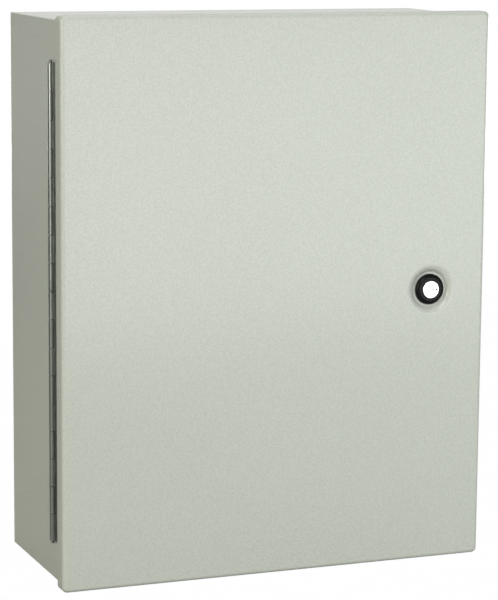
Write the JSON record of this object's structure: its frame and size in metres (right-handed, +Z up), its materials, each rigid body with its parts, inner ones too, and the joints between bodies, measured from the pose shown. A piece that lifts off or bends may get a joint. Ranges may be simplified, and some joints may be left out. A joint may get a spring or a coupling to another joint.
{
  "type": "fire alarm control panel",
  "caption": "Wall-hung grey steel fire alarm control panel: blind door on a continuous hinge, quarter-turn latch, operator module, boards, transformer and batteries inside.",
  "frame": {"origin": "centre of the cabinet's back face, on the wall", "axes": "+X right seen from the front, +Y into the wall (the door faces -Y), +Z up"},
  "size_m": [0.4168, 0.1701, 0.5156],
  "materials": {
    "cabinet_paint": "light grey textured powder coat",
    "panel_white": "white powder coat",
    "hinge_steel": "plain steel",
    "zinc_steel": "zinc plated",
    "bright_chrome": "bright plated",
    "latch_black": "glossy black",
    "gasket_foam": "closed-cell foam",
    "board_green": "solder resist on glass laminate",
    "terminal_green": "moulded",
    "black_plastic": "moulded",
    "relay_blue": "moulded",
    "can_sleeve": "printed sleeve",
    "tinned_brass": "tinned",
    "clear_glass": "clear",
    "screen_glass": "green backlit",
    "heatsink_black": "black anodised",
    "operator_grey": "dark grey satin",
    "button_grey": "moulded",
    "lamp_green": "clear tinted",
    "lamp_red": "clear tinted",
    "lamp_yellow": "clear tinted",
    "core_steel": "varnished laminations",
    "coil_tape": "polyester tape",
    "battery_grey": "moulded",
    "battery_lid_grey": "moulded",
    "wire_red": "pvc",
    "wire_black": "pvc",
    "wire_blue": "pvc",
    "wire_yellow": "pvc",
    "bushing_black": "moulded nylon"
  },
  "bodies": {
    "cabinet": {"alarm_lamp": "lamp_red", "backplate": "panel_white", "battery_cases": "battery_grey", "battery_lids": "battery_lid_grey", "battery_tabs": "tinned_brass", "battery_tray": "zinc_steel", "board_header": "black_plastic", "board_screws": "zinc_steel", "board_standoffs": "zinc_steel", "button_switches": "black_plastic", "cabinet_body": "cabinet_paint", "cabinet_lip": "cabinet_paint", "cable_bushings": "bushing_black", "capacitors": "can_sleeve", "chassis_screws": "zinc_steel", "circuit_chips": "black_plastic", "display_board": "board_green", "display_frame": "black_plastic", "display_glass": "screen_glass", "earth_stud_body": "tinned_brass", "fuse_clips": "tinned_brass", "fuses": "clear_glass", "gland_plate": "cabinet_paint", "heatsink": "heatsink_black", "hinge_leaf_body": "hinge_steel", "hinge_pin": "hinge_steel", "lead_black": "wire_black", "lead_connectors": "black_plastic", "lead_jumper": "wire_blue", "lead_red": "wire_red", "main_board": "board_green", "mains_screws": "zinc_steel", "mains_terminal": "black_plastic", "operator_plate": "operator_grey", "panel_nuts": "zinc_steel", "panel_studs": "zinc_steel", "power_lamp": "lamp_green", "relays": "relay_blue", "sounder": "black_plastic", "terminal_blocks": "terminal_green", "terminal_screws": "zinc_steel", "transformer_clamp": "zinc_steel", "transformer_coil": "coil_tape", "transformer_core": "core_steel", "transformer_leads": "wire_yellow", "trouble_lamps": "lamp_yellow"},
    "door": {"door_panel": "cabinet_paint", "door_gasket": "gasket_foam", "hinge_leaf_door": "hinge_steel", "earth_stud_door": "tinned_brass", "latch_housing": "latch_black", "latch_seal": "gasket_foam", "latch_nut": "zinc_steel"},
    "latch": {"latch_driver": "bright_chrome", "latch_cam": "zinc_steel", "cam_screw": "zinc_steel"},
    "button_acknowledge": {"button_acknowledge": "button_grey"},
    "button_drill": {"button_drill": "button_grey"},
    "button_reset": {"button_reset": "button_grey"},
    "button_silence": {"button_silence": "button_grey"}
  },
  "joints": [
    {"name": "door_hinge", "type": "hinge", "parent": "cabinet", "child": "door", "pos_m": [-0.2068, -0.14, 0], "axis": [0, 0, -1], "range_deg": [0, 175]},
    {"name": "latch_turn", "type": "hinge", "parent": "door", "child": "latch", "pos_m": [0.1525, -0.165, 0], "axis": [0, 1, 0], "range_deg": [0, 90]},
    {"name": "press_acknowledge", "type": "slide", "parent": "cabinet", "child": "button_acknowledge", "axis": [0, 1, 0], "range_m": [0, 0.001], "stiffness_N_per_m": 700, "springref_m": -0.0005},
    {"name": "press_drill", "type": "slide", "parent": "cabinet", "child": "button_drill", "axis": [0, 1, 0], "range_m": [0, 0.001], "stiffness_N_per_m": 700, "springref_m": -0.0005},
    {"name": "press_reset", "type": "slide", "parent": "cabinet", "child": "button_reset", "axis": [0, 1, 0], "range_m": [0, 0.001], "stiffness_N_per_m": 700, "springref_m": -0.0005},
    {"name": "press_silence", "type": "slide", "parent": "cabinet", "child": "button_silence", "axis": [0, 1, 0], "range_m": [0, 0.001], "stiffness_N_per_m": 700, "springref_m": -0.0005}
  ]
}
